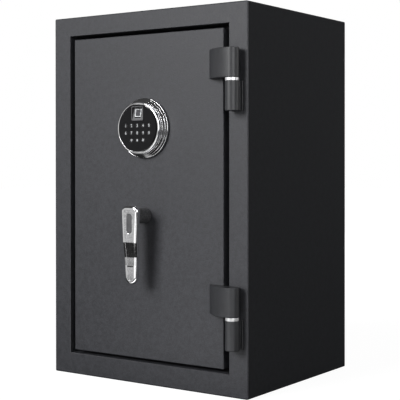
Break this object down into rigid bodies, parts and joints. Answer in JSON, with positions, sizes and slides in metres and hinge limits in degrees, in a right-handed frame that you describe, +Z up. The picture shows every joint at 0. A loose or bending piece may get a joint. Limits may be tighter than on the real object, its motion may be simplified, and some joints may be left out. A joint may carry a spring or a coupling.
{
  "type": "biometric safe",
  "caption": "Upright steel safe with one side-hinged door, a round keypad lock with a fingerprint sensor, a turning lever, live bolts and a shelf.",
  "frame": {"origin": "middle of the body's footprint, on the floor; the hinges, keypad and lever stand in front of it", "axes": "+Z up, -Y towards the front, +X towards the hinge side"},
  "size_m": [0.396, 0.3627, 0.61],
  "materials": {
    "body_paint": "dark grey textured powder coat",
    "frame_paint": "dark grey textured powder coat",
    "door_paint": "dark grey textured powder coat",
    "hinge_paint": "dark grey smooth paint",
    "liner_paint": "grey semi-matt paint",
    "fire_fill": "rough cast mineral fill",
    "seal_rubber": "matt black",
    "mat_felt": "needled felt",
    "bright_steel": "bright turned steel",
    "satin_steel": "satin grey",
    "zinc_steel": "zinc plated",
    "chrome": "polished chrome",
    "brass": "machined",
    "black_paint": "black textured paint",
    "black_plastic": "moulded, fine grain",
    "gloss_black": "gloss black",
    "key_black": "gloss black with a plain white number",
    "sensor_frame": "gloss black with grey edges",
    "sensor_glass": "dark coated glass with a bright ring",
    "circuit_board": "green solder mask",
    "cable_black": "matt black sleeve"
  },
  "bodies": {
    "root": {"outer_shell": "body_paint", "back_panel": "body_paint", "front_frame": "frame_paint", "fire_fill": "fire_fill", "inner_liner": "liner_paint", "door_seal": "seal_rubber", "shelf": "liner_paint", "shelf_rail_left": "liner_paint", "shelf_rail_right": "liner_paint", "floor_mat": "mat_felt", "frame_hinge_upper": "hinge_paint", "frame_hinge_lower": "hinge_paint", "hinge_pin_upper": "bright_steel", "hinge_pin_lower": "bright_steel", "hinge_washer_upper": "bright_steel", "hinge_washer_lower": "bright_steel"},
    "door": {"door_skin": "door_paint", "door_fill": "fire_fill", "hard_plate": "satin_steel", "door_inner_plate": "zinc_steel", "door_back_cover": "liner_paint", "door_hinge_arm_upper": "hinge_paint", "door_hinge_arm_lower": "hinge_paint", "fixed_bolt_upper": "bright_steel", "fixed_bolt_lower": "bright_steel", "bolt_guide": "zinc_steel", "lock_case": "satin_steel", "battery_box": "black_plastic", "lock_harness": "cable_black", "spindle_bush": "brass", "keypad_base": "black_plastic", "keypad_housing": "chrome", "keypad_bezel": "chrome", "keypad_face": "gloss_black", "keypad_board": "circuit_board", "fingerprint_frame": "sensor_frame", "fingerprint_glass": "sensor_glass"},
    "handle": {"handle_lever": "chrome", "lever_inlay": "satin_steel", "handle_hub": "black_paint", "spindle": "bright_steel", "crank_disc": "zinc_steel"},
    "boltwork": {"bolt_bar": "zinc_steel", "live_bolt_lower": "bright_steel", "live_bolt_middle": "bright_steel", "live_bolt_upper": "bright_steel"},
    "lock": {"lock_bolt": "brass"},
    "button_1": {"key_1": "key_black"},
    "button_2": {"key_2": "key_black"},
    "button_3": {"key_3": "key_black"},
    "button_4": {"key_4": "key_black"},
    "button_5": {"key_5": "key_black"},
    "button_6": {"key_6": "key_black"},
    "button_7": {"key_7": "key_black"},
    "button_8": {"key_8": "key_black"},
    "button_9": {"key_9": "key_black"},
    "button_0": {"key_0": "key_black"},
    "button_star": {"key_star": "key_black"},
    "button_bell": {"key_bell": "key_black"},
    "button_hash": {"key_hash": "key_black"}
  },
  "joints": [
    {"name": "door_hinge", "type": "hinge", "parent": "root", "child": "door", "pos_m": [0.179, -0.175, 0.305], "axis": [0, 0, 1], "range_deg": [0, 180]},
    {"name": "handle_turn", "type": "hinge", "parent": "door", "child": "handle", "pos_m": [0, -0.16, 0.27625], "axis": [0, 1, 0], "range_deg": [0, 80]},
    {"name": "bolt_throw", "type": "slide", "parent": "door", "child": "boltwork", "axis": [-1, 0, 0], "range_m": [0, 0.024]},
    {"name": "lock_slide", "type": "slide", "parent": "door", "child": "lock", "axis": [0, 0, 1], "range_m": [0, 0.006]},
    {"name": "press_1", "type": "slide", "parent": "door", "child": "button_1", "axis": [0, 1, 0], "range_m": [0, 0.0008], "stiffness_N_per_m": 1200, "springref_m": -0.0003},
    {"name": "press_2", "type": "slide", "parent": "door", "child": "button_2", "axis": [0, 1, 0], "range_m": [0, 0.0008], "stiffness_N_per_m": 1200, "springref_m": -0.0003},
    {"name": "press_3", "type": "slide", "parent": "door", "child": "button_3", "axis": [0, 1, 0], "range_m": [0, 0.0008], "stiffness_N_per_m": 1200, "springref_m": -0.0003},
    {"name": "press_4", "type": "slide", "parent": "door", "child": "button_4", "axis": [0, 1, 0], "range_m": [0, 0.0008], "stiffness_N_per_m": 1200, "springref_m": -0.0003},
    {"name": "press_5", "type": "slide", "parent": "door", "child": "button_5", "axis": [0, 1, 0], "range_m": [0, 0.0008], "stiffness_N_per_m": 1200, "springref_m": -0.0003},
    {"name": "press_6", "type": "slide", "parent": "door", "child": "button_6", "axis": [0, 1, 0], "range_m": [0, 0.0008], "stiffness_N_per_m": 1200, "springref_m": -0.0003},
    {"name": "press_7", "type": "slide", "parent": "door", "child": "button_7", "axis": [0, 1, 0], "range_m": [0, 0.0008], "stiffness_N_per_m": 1200, "springref_m": -0.0003},
    {"name": "press_8", "type": "slide", "parent": "door", "child": "button_8", "axis": [0, 1, 0], "range_m": [0, 0.0008], "stiffness_N_per_m": 1200, "springref_m": -0.0003},
    {"name": "press_9", "type": "slide", "parent": "door", "child": "button_9", "axis": [0, 1, 0], "range_m": [0, 0.0008], "stiffness_N_per_m": 1200, "springref_m": -0.0003},
    {"name": "press_0", "type": "slide", "parent": "door", "child": "button_0", "axis": [0, 1, 0], "range_m": [0, 0.0008], "stiffness_N_per_m": 1200, "springref_m": -0.0003},
    {"name": "press_star", "type": "slide", "parent": "door", "child": "button_star", "axis": [0, 1, 0], "range_m": [0, 0.0008], "stiffness_N_per_m": 1200, "springref_m": -0.0003},
    {"name": "press_bell", "type": "slide", "parent": "door", "child": "button_bell", "axis": [0, 1, 0], "range_m": [0, 0.0008], "stiffness_N_per_m": 1200, "springref_m": -0.0003},
    {"name": "press_hash", "type": "slide", "parent": "door", "child": "button_hash", "axis": [0, 1, 0], "range_m": [0, 0.0008], "stiffness_N_per_m": 1200, "springref_m": -0.0003}
  ],
  "couplings": [
    {"joint": "bolt_throw", "follows": "handle_turn", "m_per_rad": 0.017188}
  ]
}
